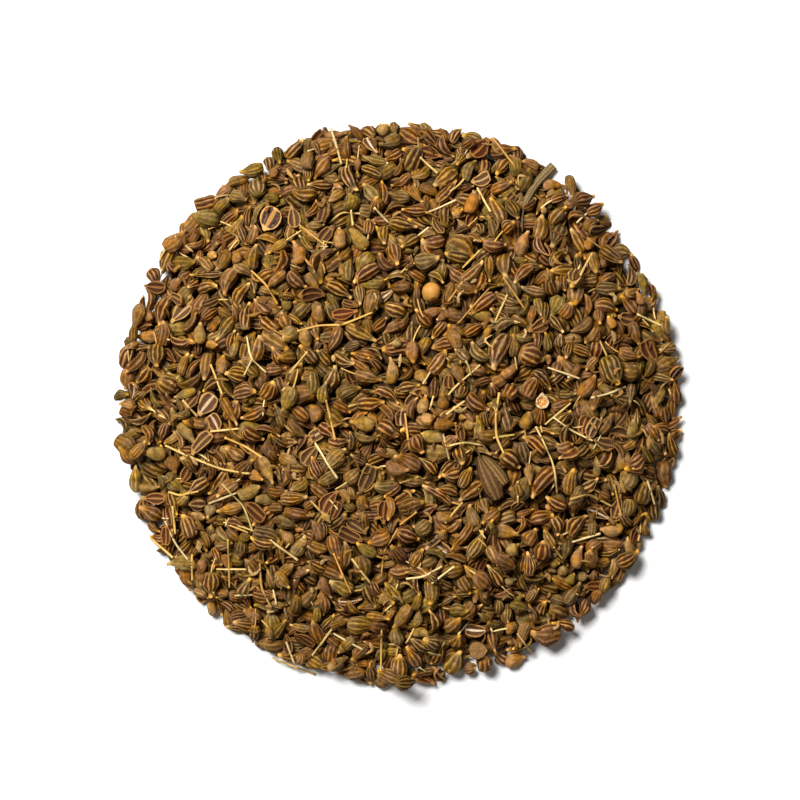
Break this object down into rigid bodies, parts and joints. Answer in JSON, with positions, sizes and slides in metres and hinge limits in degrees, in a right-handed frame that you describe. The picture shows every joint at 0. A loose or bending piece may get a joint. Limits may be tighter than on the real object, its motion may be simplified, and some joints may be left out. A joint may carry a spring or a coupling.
{
  "type": "heap of anise seed",
  "caption": "Loose round heap of dried ribbed anise fruits with thin dry stalks, resting on its flat underside.",
  "frame": {"origin": "on the surface that the heap lies on, under the middle of its bounding box", "axes": "+Z up out of the heap; +Y is up and +X is right in the picture, which looks straight down"},
  "size_m": [0.0998, 0.0998, 0.0137],
  "materials": {
    "anise_fruit": "dry, matt and finely ribbed, tan ribs with red-brown furrows between them",
    "dry_stalk": "dry and slightly silky, straw yellow to cream"
  },
  "bodies": {
    "root": {"anise_heap": "anise_fruit"}
  },
  "joints": []
}
